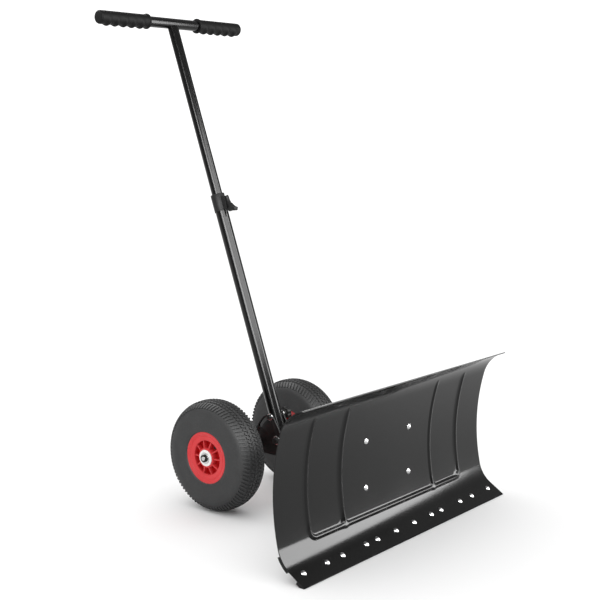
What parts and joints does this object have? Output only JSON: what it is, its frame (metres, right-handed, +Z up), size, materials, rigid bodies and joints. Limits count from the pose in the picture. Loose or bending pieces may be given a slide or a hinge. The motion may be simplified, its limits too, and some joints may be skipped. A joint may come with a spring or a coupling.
{
  "type": "wheeled snow shovel",
  "caption": "Wheeled snow shovel: wide curved steel blade on a two-wheeled axle frame, pushed by a tilting, telescoping handle with a crossbar and grips.",
  "frame": {"origin": "on the ground, under the middle of the shovel's overall box", "axes": "+Z up, +Y back towards the handle and the user, the blade faces -Y, +X to the right seen from the front"},
  "size_m": [0.737, 0.732, 1.1193],
  "materials": {
    "black_steel": "semi-gloss black powder coat",
    "tyre": "matt dark grey foam tyre",
    "rim": "moulded red plastic, satin gloss",
    "zinc": "bright zinc plate",
    "nylon": "white nylon",
    "black_plastic": "moulded black plastic",
    "grip_rubber": "matt black moulded grip"
  },
  "bodies": {
    "base": {"blade": "black_steel", "wear_strip": "black_steel", "wear_bolts": "zinc", "wear_nuts": "zinc", "blade_plate": "black_steel", "blade_bolts": "zinc", "blade_nuts": "zinc", "push_beam": "black_steel", "left_gusset": "black_steel", "right_gusset": "black_steel", "left_side_plate": "black_steel", "right_side_plate": "black_steel", "bottom_web": "black_steel", "frame_bolts": "zinc", "frame_nuts": "zinc", "axle_tube": "black_steel", "axle_rod": "zinc", "axle_washers": "zinc", "axle_nuts": "black_plastic", "pivot_bolt": "zinc", "pivot_nut": "zinc"},
    "left_wheel": {"left_tyre": "tyre", "left_rim": "rim", "left_hub_bush": "nylon"},
    "right_wheel": {"right_tyre": "tyre", "right_rim": "rim", "right_hub_bush": "nylon"},
    "handle": {"lower_tube": "black_steel", "pivot_bush": "black_steel", "lock_bolt": "black_steel", "lock_washers": "zinc", "clamp_collar": "black_plastic", "lever_pin": "zinc"},
    "knob": {"lock_knob": "black_plastic"},
    "lever": {"cam_lever": "black_plastic"},
    "upper_handle": {"upper_tube": "black_steel", "guide_plug": "black_plastic", "crossbar": "black_steel", "left_grip": "grip_rubber", "right_grip": "grip_rubber"}
  },
  "joints": [
    {"name": "left_wheel_spin", "type": "hinge", "parent": "base", "child": "left_wheel", "pos_m": [-0.139, 0.08241, 0.127], "axis": [1, 0, 0], "continuous": true},
    {"name": "right_wheel_spin", "type": "hinge", "parent": "base", "child": "right_wheel", "pos_m": [0.139, 0.08241, 0.127], "axis": [1, 0, 0], "continuous": true},
    {"name": "handle_tilt", "type": "hinge", "parent": "base", "child": "handle", "pos_m": [0, 0.00671, 0.1478], "axis": [-1, 0, 0], "range_deg": [0, 40]},
    {"name": "knob_turn", "type": "hinge", "parent": "handle", "child": "knob", "pos_m": [0.032, 0.02559, 0.20052], "axis": [1, 0, 0], "continuous": true},
    {"name": "lever_open", "type": "hinge", "parent": "handle", "child": "lever", "pos_m": [0, 0.17878, 0.69481], "axis": [-1, 0, 0], "range_deg": [0, 95]},
    {"name": "handle_length", "type": "slide", "parent": "handle", "child": "upper_handle", "axis": [0, -0.3371, -0.9415], "range_m": [0, 0.26]}
  ]
}
